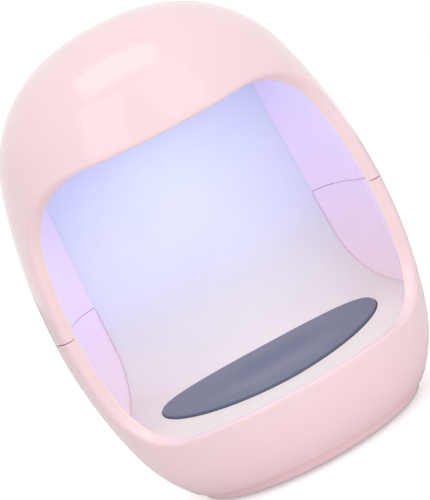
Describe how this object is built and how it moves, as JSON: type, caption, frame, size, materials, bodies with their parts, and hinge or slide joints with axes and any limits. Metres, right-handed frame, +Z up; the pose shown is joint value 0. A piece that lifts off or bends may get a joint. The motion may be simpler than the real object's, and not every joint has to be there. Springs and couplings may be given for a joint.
{
  "type": "fingertip nail lamp",
  "caption": "Egg-shaped desk lamp that cures nail varnish under one fingertip, with an open front and a press pad in its floor.",
  "frame": {"origin": "centre of the underside, on the surface that the lamp stands on", "axes": "+Z up along the egg's axis, -Y out of the open front, +X to the right seen from the front"},
  "size_m": [0.05, 0.0479, 0.064],
  "materials": {
    "pink_gloss": "gloss",
    "white_satin": "satin",
    "grey_satin": "satin",
    "grip_rubber": "matte",
    "steel": "satin",
    "gold_plate": "polished",
    "black_plastic": "matte",
    "ivory_plastic": "satin",
    "board_green": "satin",
    "board_white": "satin",
    "can_sleeve": "gloss",
    "red_sheath": "satin",
    "black_sheath": "satin",
    "ceramic_white": "matte",
    "clear_lens": "clear"
  },
  "bodies": {
    "lamp": {"upper_shell": "pink_gloss", "lower_shell": "pink_gloss", "base_plate": "pink_gloss", "base_screws": "steel", "grip_pad": "grip_rubber", "reflector": "white_satin", "switch_housing": "black_plastic", "switch_cover": "steel", "switch_dome": "gold_plate", "control_board": "board_green", "board_screws": "steel", "timer_chip": "black_plastic", "driver_transistor": "black_plastic", "smoothing_capacitor": "can_sleeve", "resistors": "black_plastic", "socket_shell": "steel", "socket_tongue": "black_plastic", "socket_contacts": "gold_plate", "lead_connector": "ivory_plastic", "lead_red": "red_sheath", "lead_black": "black_sheath", "lamp_board": "board_white", "diode_packages": "ceramic_white", "diode_lenses": "clear_lens", "lamp_board_screws": "steel"},
    "pad": {"press_pad": "grey_satin"},
    "plunger": {"switch_plunger": "black_plastic"}
  },
  "joints": [
    {"name": "pad_press", "type": "slide", "parent": "lamp", "child": "pad", "axis": [0, 0, -1], "range_m": [0, 0.0006], "stiffness_N_per_m": 1500, "springref_m": -0.0004},
    {"name": "plunger_press", "type": "slide", "parent": "lamp", "child": "plunger", "axis": [0, 0, -1], "range_m": [0, 0.0006], "stiffness_N_per_m": 0.3, "springref_m": -0.0009}
  ],
  "couplings": [
    {"joint": "plunger_press", "follows": "pad_press", "ratio": 1}
  ]
}
